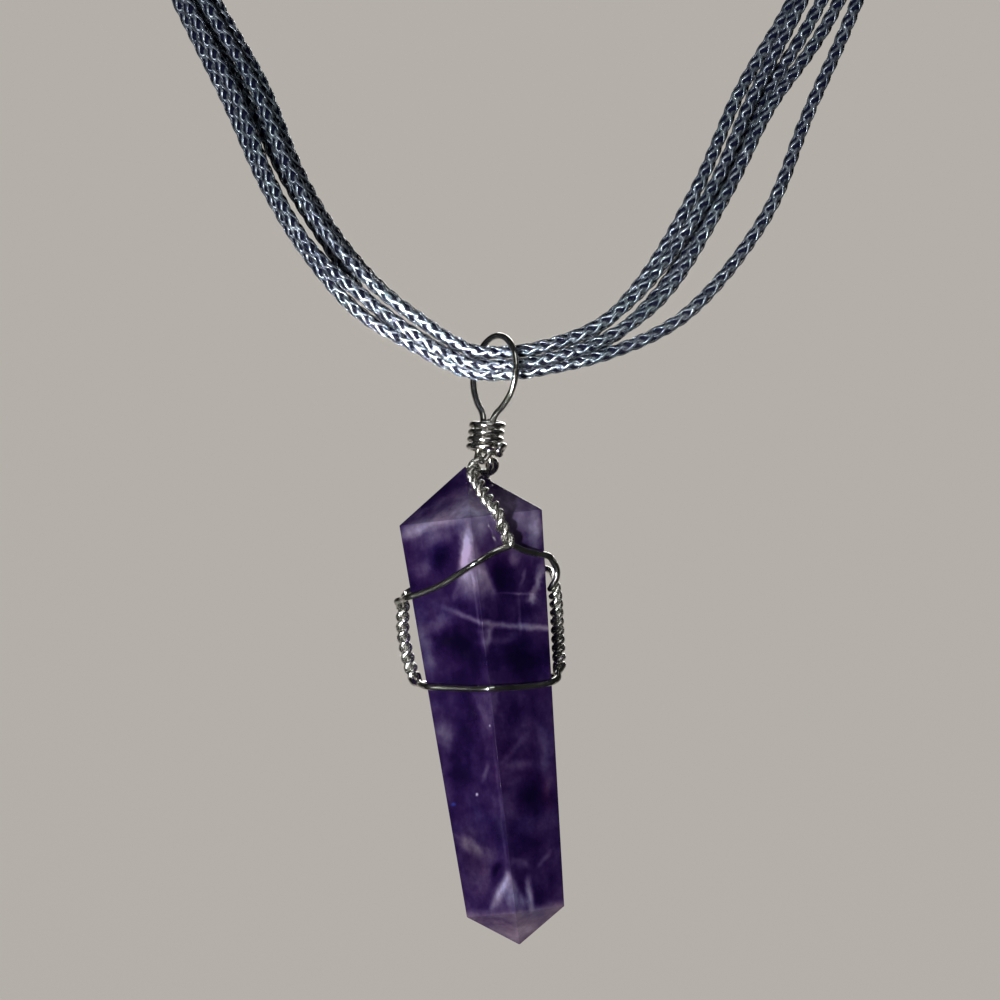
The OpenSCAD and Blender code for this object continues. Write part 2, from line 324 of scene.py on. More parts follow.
makeFloor(stageLook)
makeLights({
    "key": {"at": (-190, -560, -215), "aim": (0, -105, -130), "size": 44, "watts": 2.6},
    # two narrow beams that only mirrors see, one on the strands by the bail and one on the pendant
    "glint": {"at": (-44, -330, -215), "aim": (-4.5, -105, -114), "size": 14, "watts": 0.012, "beam": 4},
    "sparkle": {"at": (-190, -560, -215), "aim": (0, -105, -143), "size": 44, "watts": 0.085, "beam": 7},
    "soft": {"at": (120, -480, 220), "aim": (0, -105, -130), "size": 260, "watts": 0.25},
    "paper": {"at": (0, 600, 400), "aim": (0, 1850, 235), "size": 970, "watts": 12},
    "back": {"at": (90, 520, 60), "aim": (0, -60, -90), "size": 240, "watts": 1.3},
    # fill for the sides, which mirrors don't see
    "leftFill": {"at": (-900, 300, 200), "aim": (0, -60, -90), "size": 400, "watts": 2.4,
                 "mirrored": False},
    "rightFill": {"at": (900, 300, 200), "aim": (0, -60, -90), "size": 400, "watts": 2.4,
                  "mirrored": False},
})
makeWorld(stageLook)


print("silver")
silverLook = {
    "bright": (0.7, 0.69, 0.66, 1),
    "dull": (0.42, 0.41, 0.37, 1),
    "roughness": 0.14,
    "rubbed": 0.22,  # more roughness where the pliers twisted the wire
    "satin": 0.12,  # the same for the caps and the clasp
    "dents": 0.03,  # depths in mm
    "scratches": 0.0015,
}


def makeSilver(name, look, brushed=0.0):
    material, tree, shader = newMaterial(name)
    place = objectPlace(tree)
    stain = noiseAt(tree, place, 0.9, 4, 0.6)
    tone = blendColor(tree, fade(tree, stain.outputs["Fac"], 0.42, 0.68), look["bright"], look["dull"])
    tree.links.new(tone, shader.inputs["Base Color"])
    shader.inputs["Metallic"].default_value = 1.0
    grain = noiseAt(tree, place, 7, 3, 0.6)
    rough = calc(tree, "MULTIPLY_ADD", grain.outputs["Fac"], 0.08 + brushed, look["roughness"] - 0.04)
    tree.links.new(rough, shader.inputs["Roughness"])
    scratches = noiseAt(tree, place, 22, 2, 0.5)
    dents = noiseAt(tree, place, 1.6, 2, 0.5)
    dented = bump(tree, dents.outputs["Fac"], look["dents"], 0.5)
    tree.links.new(bump(tree, scratches.outputs["Fac"], look["scratches"], 0.5, dented),
                   shader.inputs["Normal"])
    return material


silver = makeSilver("polishedSilver", silverLook)
rubbedSilver = makeSilver("rubbedSilver", silverLook, silverLook["rubbed"])
satinSilver = makeSilver("satinSilver", silverLook, silverLook["satin"])


print("amethyst point")
stone = {
    "length": 38.5,
    "topWidth": 11.4,
    "lowWidth": 7.8,
    "topHeight": 4.1,
    "lowHeight": 2.8,
    "depthShare": 0.94,
    "lean": 6.5,  # degrees, lower point to the right
    "tip": (-2.4, 0, -7.7),  # from the middle of the bail loop
    "edge": 0.035,  # width of the rubbed edges
}
swingAt = np.array([0, -105, -117])
bundleLift = 0.72
loopAt = swingAt - np.array([0, 0, bundleLift])
shoulderDeep = stone["length"] - stone["lowHeight"]
faceTilt = math.atan(stone["topHeight"] / (stone["topWidth"] / 2))


def flatWidth(t, lift):  # half width across the flats, t mm below the upper point
    slant = (stone["lowWidth"] - stone["topWidth"]) / (shoulderDeep - stone["topHeight"])
    side = (stone["topWidth"] + slant * (t - stone["topHeight"])) / 2
    return np.minimum(t / math.tan(faceTilt) + lift / math.sin(faceTilt), side + lift)


def onStone(azimuth, t, lift):  # stone's own place: s to the right, y, t downward
    azimuth = np.asarray(azimuth, float)
    corner = 1 / np.cos(np.radians((azimuth + 30) % 60 - 30))
    r = flatWidth(t, lift) * corner
    a = np.radians(azimuth)
    return np.stack([r * np.cos(a), stone["depthShare"] * r * np.sin(a), t + 0 * r], axis=-1)


def hung(p):  # from the stone's own place to the loop's
    p = np.asarray(p, float)
    c, s = math.cos(math.radians(stone["lean"])), math.sin(math.radians(stone["lean"]))
    x = p[..., 0] * c + p[..., 2] * s
    z = p[..., 0] * s - p[..., 2] * c
    return np.array(stone["tip"]) + np.stack([x, p[..., 1], z], axis=-1)


def laid(rows, lift):
    rows = np.asarray(rows, float)
    return hung(onStone(rows[:, 0], rows[:, 1], lift + rows[:, 2]))


def makeStone():
    corners = 30 + 60 * np.arange(6)
    points = [(0, 0, 0)]
    for t in (stone["topHeight"], shoulderDeep):
        points += [tuple(p) for p in onStone(corners, np.full(6, t), 0.0)]
    points.append((0, 0, stone["length"]))
    mesh = bpy.data.meshes.new("amethystCrystal")
    shape = bmesh.new()
    verts = [shape.verts.new(hung(np.array(p)) * mm) for p in points]
    for k in range(6):
        nextK = (k + 1) % 6
        shape.faces.new([verts[0], verts[1 + k], verts[1 + nextK]])
        shape.faces.new([verts[1 + k], verts[7 + k], verts[7 + nextK], verts[1 + nextK]])
        shape.faces.new([verts[7 + k], verts[13], verts[7 + nextK]])
    bmesh.ops.recalc_face_normals(shape, faces=shape.faces)
    bmesh.ops.bevel(shape, geom=list(shape.edges), offset=stone["edge"] * mm, segments=3,
                    profile=0.5, affect="EDGES", clamp_overlap=True)
    shape.to_mesh(mesh)
    shape.free()
    piece = bpy.data.objects.new("amethystCrystal", mesh)
    scene.collection.objects.link(piece)
    mesh.transform(Matrix.Translation(Vector(loopAt) * mm))
    return piece


# Places on the crystal are s to the right of its axis, y to the back and t below its upper point, in mm
amethyst = {
    # from the clearest indigo to milk
    "tones": [(0.0, (0.002, 0.0007, 0.011)), (0.15, (0.0065, 0.002, 0.026)), (0.3, (0.016, 0.0052, 0.046)),
              (0.45, (0.043, 0.024, 0.084)), (0.6, (0.088, 0.063, 0.138)), (0.8, (0.18, 0.148, 0.232)),
              (1.0, (0.42, 0.36, 0.58))],
    "clear": 0.298,  # how milky the stone is where nothing else says so
    "mottle": 0.34,
    "streaks": 0.1,
    "veils": 0.28,
    "roughness": 0.07,
    "smudges": 0.05,  # more roughness where it was touched
    "waves": 0.05,  # depth of the facets' unevenness in mm
    "deepClouds": 15,  # clouds in the back half, placed at random
    "spread": 1.4,  # how far a cloud fades out past its half sizes
    # clouds: s, y, t, half sizes across, deep and along, lean to the right in degrees, milk
    "clouds": [
        (-2.6, -3, 1.7, 0.8, 5, 2.8, 54, -0.26),
        (-2.6, -4, 4.1, 0.7, 5, 3.6, 78, 0.34),
        (-0.4, -3, 3.5, 2.0, 6, 3.2, 85, 0.26),
        (-4.7, -2, 4.4, 0.9, 3, 1.6, 70, 0.3),
        (-4.0, -2, 3.3, 1.1, 3, 0.9, 60, 0.2),
        (0.5, -5, 5.0, 0.8, 3, 1.6, 0, 0.26),
        (3.4, -3, 3.8, 2.2, 4, 2.8, -20, 0.42),
        (4.8, -2, 5.8, 0.7, 3, 2.8, 10, 0.4),
        (-2.7, -5, 7.1, 1.2, 3, 1.4, 15, -0.3),
        (-4.4, -4, 7.8, 1.1, 3, 1.0, 60, 0.2),
        (-0.6, -5, 6.6, 0.55, 3, 2.2, 11, 0.5),
        (0.75, -5, 9.2, 0.42, 3, 1.7, -22, 0.16),
        (2.2, -5, 9.1, 1.3, 3, 2.0, -14, -0.28),
        (3.1, -4, 7.7, 0.5, 3, 0.8, 0, 0.2),
        (4.8, -3, 9.7, 0.4, 3, 1.7, 18, 0.54),
        (4.3, -3, 11.1, 0.55, 3, 0.6, -40, 0.3),
        (0.0, -5, 13.6, 4.6, 5, 2.9, 0, -0.11),
        (-2.6, -5, 13.9, 1.7, 3, 1.4, 20, -0.26),
        (2.7, -4, 16.0, 2.4, 4, 1.8, 0, -0.26),
        (3.9, -4, 11.8, 0.8, 3, 0.8, 0, -0.2),
        (-3.4, -4, 12.2, 0.7, 3, 1.2, 60, 0.2),
        (-4.7, -3, 13.8, 0.6, 3, 2.8, -4, 0.22),
        (-2.2, -4, 16.4, 1.0, 3, 2.0, 60, -0.12),
        (-4.0, -3, 20.8, 0.85, 3, 1.7, 0, 0.22),
        (-2.1, -5, 20.2, 0.9, 3, 2.4, 0, -0.18),
        (1.9, -4, 20.0, 1.4, 3, 1.6, 0, -0.14),
        (-3.2, -4, 24.2, 1.3, 3, 1.8, 0, -0.32),
        (-0.6, -5, 26.2, 0.9, 3, 2.0, 0, 0.04),
        (3.7, -3, 23.6, 0.6, 3, 2.8, -3, 0.15),
        (2.3, -4, 26.6, 1.1, 3, 2.2, 0, -0.22),
        (-2.6, -4, 30.3, 0.7, 3, 1.8, -52, 0.3),
        (-2.6, -4, 32.4, 1.4, 3, 1.4, 30, 0.16),
        (1.6, -4, 30.2, 1.3, 3, 1.4, 0, -0.08),
        (0.8, -4, 31.9, 0.4, 3, 1.0, -70, 0.16),
        (2.4, -4, 34.4, 1.2, 3, 1.2, 0, -0.12),
        (0.5, -4, 5.8, 5.5, 6, 4.2, 0, 0.1),
        (-2.4, -4, 5.5, 1.0, 3, 0.8, 0, 0.22),
        (-1.7, -4, 10.7, 0.8, 3, 0.5, 0, -0.16),
        (3.2, -3, 19.5, 0.8, 3, 3.0, 0, -0.12),
        (1.4, -5, 13.9, 2.4, 3, 0.5, 0, 0.16),
        (-2.4, -3, 36.6, 1.4, 3, 1.0, 0, -0.2),
        (0.2, -3, 37.0, 1.2, 3, 0.9, 0, 0.12),
    ],
    # sharper streaks in the same terms; the rows with s near -0.3 paint a pale line down the front ridge,
    # partly edge wear and partly a painted highlight of the rounded edge
    "strokes": [
        # painted highlight with some edge wear along the front ridge, in this row and the one at s -0.34
        # below
        (-0.34, -5, 9.2, 0.15, 3, 1.2, 0, 0.2),
        (3.6, -4, 9.3, 0.2, 3, 0.9, 25, 0.2),
        (2.85, -4, 10.5, 0.14, 3, 1.7, -81, 0.26),
        (3.0, -4, 12.2, 0.14, 3, 1.6, 4, 0.18),
        (-0.34, -6, 11.7, 0.13, 2, 1.3, 0, 0.2),
        (1.4, -4, 22.7, 0.35, 3, 1.7, 50, 0.16),
        (1.5, -4, 24.0, 0.5, 3, 1.7, -83, 0.16),
        (-1.1, -4, 24.2, 0.22, 3, 0.9, 20, 0.22),
        # painted highlight with some edge wear along the front ridge, in this row and the next
        (-0.22, -5, 25.2, 0.16, 2, 4.0, 0, 0.1),
        (-0.3, -5, 30.4, 0.14, 2, 2.2, 0, 0.12),
        (-1.2, -4, 32.1, 0.35, 3, 0.9, 30, -0.24),
        (-1.0, -4, 33.7, 0.5, 3, 1.6, 32, 0.42),
        (-0.1, -4, 33.3, 0.5, 3, 1.5, -3, 0.14),
        (1.28, -4, 34.3, 0.36, 3, 1.4, 0, 0.6),
        (2.75, -4, 31.7, 0.24, 3, 1.0, 45, 0.22),
        (-1.97, -4, 26.0, 0.14, 3, 0.18, 0, 0.8),
        (-0.31, -4, 20.7, 0.1, 3, 0.14, 0, 0.6),
    ],
    # pale wedges: point, left foot, right foot, milk
    "wedges": [
        ((-0.28, 4.2), (-2.2, 10.0), (1.5, 10.8), 0.3),
        ((-0.05, 15.3), (0.95, 12.9), (-0.6, 12.9), 0.34),
        ((-0.4, 21.8), (0.8, 17.8), (-1.7, 17.8), 0.18),
        ((-0.2, 32.0), (-2.1, 35.1), (1.2, 35.4), 0.32),
    ],
    # healed crack: three places that it passes through, half width, milk
    "crack": ((-4.4, -3.5, 10.1), (-0.3, -6.0, 12.5), (5.0, -2.9, 13.55), 0.27, 0.4),
    # tints in the clouds' terms, with a colour
    "tints": [
        (-4.7, -3, 13.8, 0.7, 3, 3.0, -4, 0.6, (1.05, 1.2, 0.95, 1)),
        (-4.0, -3, 21.2, 0.9, 3, 2.2, 0, 0.7, (1.0, 1.15, 0.95, 1)),
        (-2.8, -4, 30.8, 1.5, 4, 2.6, 0, 0.9, (1.15, 1.2, 0.8, 1)),
        (-0.4, -5, 28.9, 0.7, 3, 1.2, 0, 0.7, (0.9, 1.35, 0.9, 1)),
        (3.6, -3, 26.7, 0.6, 3, 1.4, 0, 0.7, (1.5, 0.9, 0.75, 1)),
        (3.2, -3, 6.1, 0.5, 3, 0.6, 0, 0.6, (1.1, 1.3, 0.75, 1)),
        (3.6, -3, 3.6, 1.6, 4, 2.0, 0, 0.5, (1.0, 0.88, 1.15, 1)),
        (-3.9, -3, 26.7, 0.16, 3, 0.16, 0, 1.0, (1.0, 3.4, 4.0, 1)),
    ],
    "bluer": (0.88, 0.97, 1.06, 1),  # patches of hue
    "redder": (1.13, 1.0, 1.0, 1),
    "lowMilk": 0.34,  # the lower point is milkier and warmer
    "lowTint": (1.15, 1.05, 0.92, 1),
}


def makeAmethyst(look):
    material, tree, shader = newMaterial("amethystFinish")
    turned = tree.nodes.new("ShaderNodeMapping")
    turned.vector_type = "TEXTURE"  # from the object's place to s, y and minus t
    feed(tree, turned.inputs["Vector"], objectPlace(tree))
    turned.inputs["Location"].default_value = (np.array(stone["tip"]) + loopAt).tolist()
    turned.inputs["Rotation"].default_value = (0, -math.radians(stone["lean"]), 0)
    place = turned.outputs[0]
    parts = tree.nodes.new("ShaderNodeSeparateXYZ")
    tree.links.new(place, parts.inputs[0])
    s, y, up = parts.outputs
    t = calc(tree, "MULTIPLY", up, -1.0)

    def warped(scale, reach):  # the place, shifted a little by a soft noise
        wobble = noiseAt(tree, place, scale, 3, 0.6)
        shift = vectorCalc(tree, "MULTIPLY_ADD", wobble.outputs["Color"], (reach,) * 3, (-reach / 2,) * 3)
        return vectorCalc(tree, "ADD", shift, place)

    def patch(at, row):  # 1 in the middle of a cloud, 0 outside it
        cloud = tree.nodes.new("ShaderNodeMapping")
        cloud.vector_type = "TEXTURE"
        feed(tree, cloud.inputs["Vector"], at)
        cloud.inputs["Location"].default_value = (row[0], row[1], -row[2])
        cloud.inputs["Rotation"].default_value = (0, math.radians(row[6]), 0)
        cloud.inputs["Scale"].default_value = (look["spread"] * np.array(row[3:6])).tolist()
        ball = tree.nodes.new("ShaderNodeTexGradient")
        ball.gradient_type = "SPHERICAL"
        tree.links.new(cloud.outputs[0], ball.inputs[0])
        return fade(tree, ball.outputs["Fac"], 0.0, 1.0)

    mottle = noiseAt(tree, place, 0.42, 5, 0.62)
    uneven = calc(tree, "SUBTRACT", mottle.outputs["Fac"], 0.5)
    milk = calc(tree, "MULTIPLY_ADD", uneven, look["mottle"] * 2, look["clear"])
    stretched = vectorCalc(tree, "MULTIPLY", warped(0.3, 1.5), (1.3, 1.3, 0.3))
    grain = noiseAt(tree, stretched, 0.9, 3, 0.55)
    streaky = calc(tree, "SUBTRACT", grain.outputs["Fac"], 0.5)
    milk = calc(tree, "MULTIPLY_ADD", streaky, look["streaks"] * 2, milk)
    veil = noiseAt(tree, warped(0.4, 1.0), 0.45, 4, 0.6, "RIDGED_MULTIFRACTAL")
    patches = noiseAt(tree, place, 0.17, 2, 0.5)
    veils = calc(tree, "MULTIPLY", fade(tree, veil.outputs["Fac"], 1.1, 2.6),
                 fade(tree, patches.outputs["Fac"], 0.42, 0.6))
    milk = calc(tree, "MULTIPLY_ADD", veils, look["veils"], milk)
    loose, near = warped(0.5, 1.5), warped(0.9, 0.4)
    rng = np.random.default_rng(5)
    count = look["deepClouds"]
    deep = [(rng.uniform(-4, 4), rng.uniform(2, 5), 36 * (n + 0.5) / count, rng.uniform(0.6, 1.8), 2.5,
             rng.uniform(1.2, 2.6), rng.uniform(-70, 70), rng.uniform(-0.22, 0.28)) for n in range(count)]
    for row in look["clouds"] + deep:  # the deep ones are spread down the whole stone
        milk = calc(tree, "MULTIPLY_ADD", patch(loose, row), row[7], milk)
    for row in look["strokes"]:
        milk = calc(tree, "MULTIPLY_ADD", patch(near, row), row[7], milk)

    front = fade(tree, y, -0.5, -3.0)
    for point, left, right, gain in look["wedges"]:
        foot = (left[1] + right[1]) / 2
        down = calc(tree, "DIVIDE", calc(tree, "SUBTRACT", t, point[1]), foot - point[1])
        leftEdge = calc(tree, "MULTIPLY_ADD", down, left[0] - point[0], point[0])
        rightEdge = calc(tree, "MULTIPLY_ADD", down, right[0] - point[0], point[0])
        sign = 1 if left[0] < right[0] else -1
        fromLeft = calc(tree, "MULTIPLY", calc(tree, "SUBTRACT", s, leftEdge), sign)
        fromRight = calc(tree, "MULTIPLY", calc(tree, "SUBTRACT", rightEdge, s), sign)
        inside = calc(tree, "MULTIPLY", fade(tree, fromLeft, -0.2, 0.35), fade(tree, fromRight, -0.2, 0.35))
        ends = calc(tree, "MULTIPLY", fade(tree, down, -0.05, 0.15), fade(tree, down, 1.08, 0.88))
        mask = calc(tree, "MULTIPLY", calc(tree, "MULTIPLY", inside, ends), front)
        cloudy = calc(tree, "MULTIPLY_ADD", grain.outputs["Fac"], 1.2, 0.3)
        milk = calc(tree, "MULTIPLY_ADD", calc(tree, "MULTIPLY", mask, cloudy), gain, milk)

    first, second, third, half, gain = look["crack"]
    a, b, c = (np.array([p[0], p[1], -p[2]]) for p in (first, second, third))
    normal = unit(np.cross(b - a, c - a))
    onPlane = vectorCalc(tree, "DOT_PRODUCT", warped(0.8, 0.45), normal.tolist())
    off = calc(tree, "ABSOLUTE", calc(tree, "SUBTRACT", onPlane, float(normal @ a)))
    line = calc(tree, "MULTIPLY", fade(tree, off, half * 1.5, 0.0), fade(tree, y, 0.5, -1.5))
    line = calc(tree, "MULTIPLY", line, calc(tree, "MULTIPLY_ADD", fade(tree, s, -3.5, -0.3), 0.85, 0.15))
    milk = calc(tree, "MULTIPLY_ADD", line, gain, milk)
    lowPoint = fade(tree, t, shoulderDeep - 0.8, shoulderDeep + 0.2)
    milk = calc(tree, "MULTIPLY_ADD", lowPoint, look["lowMilk"], milk)

    ramp = tree.nodes.new("ShaderNodeValToRGB")
    ramp.color_ramp.interpolation = "B_SPLINE"
    while len(ramp.color_ramp.elements) < len(look["tones"]):
        ramp.color_ramp.elements.new(0.5)
    for element, (level, color) in zip(ramp.color_ramp.elements, look["tones"]):
        element.position = level
        element.color = color + (1,)
    tree.links.new(milk, ramp.inputs[0])
    tone = ramp.outputs[0]
    hue = noiseAt(tree, place, 0.3, 3, 0.6).outputs["Fac"]
    tone = blendColor(tree, fade(tree, hue, 0.5, 0.68), tone, look["bluer"], "MULTIPLY")
    tone = blendColor(tree, fade(tree, hue, 0.48, 0.32), tone, look["redder"], "MULTIPLY")
    for row in look["tints"]:
        tone = blendColor(tree, calc(tree, "MULTIPLY", patch(loose, row), row[7]), tone, row[8], "MULTIPLY")
    tone = blendColor(tree, lowPoint, tone, look["lowTint"], "MULTIPLY")
    tree.links.new(tone, shader.inputs["Base Color"])
    smudge = noiseAt(tree, place, 0.9, 4, 0.6)
    smudged = fade(tree, smudge.outputs["Fac"], 0.5, 0.75)
    tree.links.new(calc(tree, "MULTIPLY_ADD", smudged, look["smudges"], look["roughness"]),
                   shader.inputs["Roughness"])
    shader.inputs["IOR"].default_value = 1.54
    waves = noiseAt(tree, place, 0.35, 2, 0.4)
    tree.links.new(bump(tree, waves.outputs["Fac"], look["waves"], 0.5), shader.inputs["Normal"])
    return material


crystal = makeStone()
crystal.data.materials.append(makeAmethyst(amethyst))
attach(crystal, "pendant")
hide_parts("amethyst_point")


print("wire cage")
wire = {
    "thickness": 0.52,
    "gap": 0.04,  # between wire and crystal
    "twistRadius": 0.3,  # from the pair's middle to each wire's
    "pairTurns": 4.75,
    "leftTurns": 3.5,
    "rightTurns": 4.5,
    "ringsPerTurn": 26,
    "sides": 14,
}
bail = {
    "radius": 2.78,
    "tall": 3.05,  # the ring's other radius, upward
    "turn": 53,  # degrees about the vertical, right side forward
    "lean": 8,
    "open": 130,  # degrees from the top where the ring ends, each way
    "legOff": 0.42,  # from the middle to the legs, across and deep
    "legTop": -4.6,
    "legJoin": -5.4,  # where the loop's legs end, over two ends of the cage
    "legCut": -4.3,  # where the cage's other two ends are cut
    "legEnds": (-6.2, -6.8),  # where the cage's wires leave the coil
    "neck": [(0.63, -4.05), (0.9, -3.5), (1.62, -2.85)],  # from the legs to the ring: out, up
}
coil = {
    "radius": 1.2,
    "turns": 4.25,
    "top": -4.15,
    "low": -6.6,
    "step": 15,  # degrees
    # the curl at its end: azimuth, distance from the middle, height
    "curl": [(0, 1.45, -6.1), (-22, 1.66, -5.9), (-42, 1.78, -6), (-50, 1.8, -6.35), (-38, 1.7, -6.65)],
}
singleLift = wire["thickness"] / 2 + wire["gap"]
pairLift = wire["twistRadius"] + singleLift

# Routes round the crystal: azimuth, depth below the point, extra lift
frontPair = [(-74, 0.6, 0.06), (-74, 1.8, 0.04), (-73, 2.9, 0.02), (-71, 3.8, 0.02), (-68, 4.9, 0),
             (-62, 6.6, 0)]
backPair = [(62, 0.9, 0.3), (66, 1.9, 0.05), (70, 2.9, 0.02), (74, 3.8, 0.02), (78, 4.9, 0.02),
            (84, 6.8, 0.1)]
frontForkLeft = [(-74, 6.95, 0.1), (-90, 7.7, 0.02), (-103, 8.4, 0), (-120, 9.1, 0), (-138, 9.6, 0),
                 (-150, 9.85, 0.05), (-163, 10, 0.45), (-173, 10.1, 0.95)]
frontForkRight = [(-50, 7.15, 0.1), (-40, 7.5, 0), (-31, 7.85, 0.14), (-25, 8.35, 0.38), (-21, 9, 0.62),
                  (-20, 9.7, 0.55), (-19, 10.15, 0.25)]
backForkLeft = [(93, 7.25, 0.16), (108, 8, 0), (128, 8.8, 0), (150, 9.5, 0.05), (165, 9.9, 0.4)]
backForkRight = [(72, 7.2, 0.1), (56, 7.8, 0), (42, 8.5, 0), (30, 9.05, 0.08), (18, 9.42, 0.3),
                 (5, 9.7, 0.4), (-7, 9.95, 0.46)]
sideLeft = [(-180, 10.5, 0.25), (-180, 11.5, 0.45), (-180, 12.6, 0.62), (-180, 14, 0.62),
            (-179, 15.3, 0.52), (-176, 16.2, 0.32)]
sideRight = [(-14, 10.4, 0.02), (-9, 11.3, 0.12), (-3, 13.2, 0.13), (-1, 15.3, 0.12), (-4, 16.6, 0.12)]
frontBand = [(-167, 16.65, 0.27), (-156, 16.87, 0.17), (-145, 17.08, 0.14), (-130, 17.3, 0.03),
             (-108, 17.55, 0), (-90, 17.7, 0.02), (-70, 17.85, 0), (-48, 17.92, 0.02), (-35, 17.85, 0.12),
             (-25, 17.62, 0.2), (-15, 17.2, 0.3)]
backBand = [(179, 16.65, 0.8), (168, 16.87, 0.4), (156, 16.97, 0.18), (145, 17.07, 0.14), (130, 17.2, 0.03),
            (108, 17.4, 0), (90, 17.5, 0.02), (70, 17.6, 0), (48, 17.65, 0.02), (35, 17.6, 0.12),
            (25, 17.45, 0.16), (13, 17.25, 0.16), (2, 17, 0.12)]


def leaned(p):
    p = np.asarray(p, float)
    c, s = math.cos(math.radians(bail["lean"])), math.sin(math.radians(bail["lean"]))
    return np.stack([p[..., 0] * c + p[..., 2] * s, p[..., 1], p[..., 2] * c - p[..., 0] * s], axis=-1)


def twisted(line, turns, phase):  # one wire of a pair
    far = along(line)
    t = headings(line)
    side = squareTo(np.array([1.0, 0, 0]), t)
    a = np.radians(phase + 360 * turns * far / far[-1])[:, None]
    return line + wire["twistRadius"] * (np.cos(a) * side + np.sin(a) * np.cross(t, side))


def evenly(rows, turns):
    fine = smoothRows(rows, 24)
    count = math.ceil(turns * wire["ringsPerTurn"])
    return placeAlong(fine, np.linspace(0, along(fine)[-1], count + 1))


def bridge(before, rows, after, steps=7):  # a single wire between two stretches of twist
    lead, end = before[-2:], after[:2]
    full = smoothRows(np.vstack([lead, rows, end]), steps)
    return full[steps + 1:-steps - 1]


# front is -1 for the front wire and 1 for the back one; phases are the twists' angles at their upper ends
def cageWire(name, front, start, pair, forkLeft, forkRight, band, phases):
    line = evenly(np.vstack([start, laid(pair, pairLift)]), wire["pairTurns"])
    left = evenly(laid(sideLeft, pairLift), wire["leftTurns"])
    right = evenly(laid(sideRight, pairLift), wire["rightTurns"])
    down = twisted(line, wire["pairTurns"], phases[0])
    up = twisted(line, wire["pairTurns"], phases[0] + 180)[::-1]
    leftTwist = twisted(left, wire["leftTurns"], phases[1])
    rightTwist = twisted(right, wire["rightTurns"], phases[2])[::-1]
    longLeg, shortLeg = bail["legCut"], bail["legJoin"] - wire["gap"]
    corner = lambda x, w: leaned([x * bail["legOff"], front * bail["legOff"], w])
    upper, lower = bail["legEnds"]
    legLeft = [corner(-1, longLeg if front < 0 else shortLeg), corner(-1, upper), corner(-1, lower)]
    legRight = [corner(1, lower), corner(1, upper), corner(1, shortLeg if front < 0 else longLeg)]
    downAll = smoothRows(np.vstack([legLeft, down[:2]]), 5)[:-6]
    upAll = smoothRows(np.vstack([up[-2:], legRight]), 5)[6:]
    stretches = [  # each with 1 where it is twisted
        (downAll, 0), (down, 1),
        (bridge(down, laid(forkLeft, singleLift), leftTwist), 0), (leftTwist, 1),
        (bridge(leftTwist, laid(band, singleLift), rightTwist), 0), (rightTwist, 1),
        (bridge(rightTwist, laid(forkRight, singleLift)[::-1], up), 0), (up, 1), (upAll, 0)]
    path = np.vstack([stretch for stretch, rubbed in stretches])
    points, faces = tube(path + loopAt, wire["thickness"] / 2, wire["sides"], (0, 1, 0))
    # 1 for each ring in a twist; a rounded end has two rings more
    rubbed = np.pad(np.concatenate([np.full(len(stretch), rubbed) for stretch, rubbed in stretches]), 2)
    slots = np.repeat(rubbed[1:], wire["sides"]).tolist() + [0, 0]  # the walls, then the two ends
    return makeObject(name, points, faces, [silver, rubbedSilver], slots=slots)


frontWire = cageWire("frontCageWire", -1, [(-1.2, -0.62, -7.2), (-1.6, -1.15, -7.65)], frontPair,
                     frontForkLeft, frontForkRight, frontBand, (180, 165, 160))
backWire = cageWire("backCageWire", 1, [(-0.7, 0.62, -7.2), (-0.2, 1.25, -7.6)], backPair,
                    backForkLeft, backForkRight, backBand, (180, -15, -20))


print("bail loop and neck coil")


def makeBail():
    inLoop = lambda u, w: leaned([u * math.cos(math.radians(bail["turn"])),
                                  -u * math.sin(math.radians(bail["turn"])), w])
    legOut = bail["legOff"] * math.sqrt(2)
    legs = [(legOut, bail["legJoin"]), (legOut, bail["legTop"])] + bail["neck"]
    ring = [(bail["radius"] * math.sin(math.radians(a)),
             bail["radius"] + bail["tall"] * (math.cos(math.radians(a)) - 1))
            for a in range(bail["open"], -bail["open"] - 1, -10)]
    rows = [inLoop(u, w) for u, w in legs + ring] + [inLoop(-u, w) for u, w in legs[::-1]]
    points, faces = tube(smoothRows(rows, 6) + loopAt, wire["thickness"] / 2, wire["sides"], (0, 1, 0))
    return makeObject("bailLoop", points, faces, [silver])


def makeCoil():
    places = []
    for a in np.arange(0, 360 * coil["turns"] - coil["step"] + 1, coil["step"]):
        w = coil["top"] + (coil["low"] - coil["top"]) * a / (360 * coil["turns"])
        places.append((90 - a, coil["radius"], w))
    rows = []
    for azimuth, r, w in places + coil["curl"]:
        b = math.radians(azimuth)
        rows.append(leaned([r * math.cos(b), r * math.sin(b), w]))
    points, faces = tube(smoothRows(rows, 3) + loopAt, wire["thickness"] / 2, wire["sides"], (0, 0, 1))
    return makeObject("neckCoil", points, faces, [silver])


bailLoop = makeBail()
neckCoil = makeCoil()
for piece, node in [(frontWire, "front_cage_wire"), (backWire, "back_cage_wire"),
                    (bailLoop, "bail_loop"), (neckCoil, "neck_coil")]:
    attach(piece, "pendant")
    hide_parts(node)


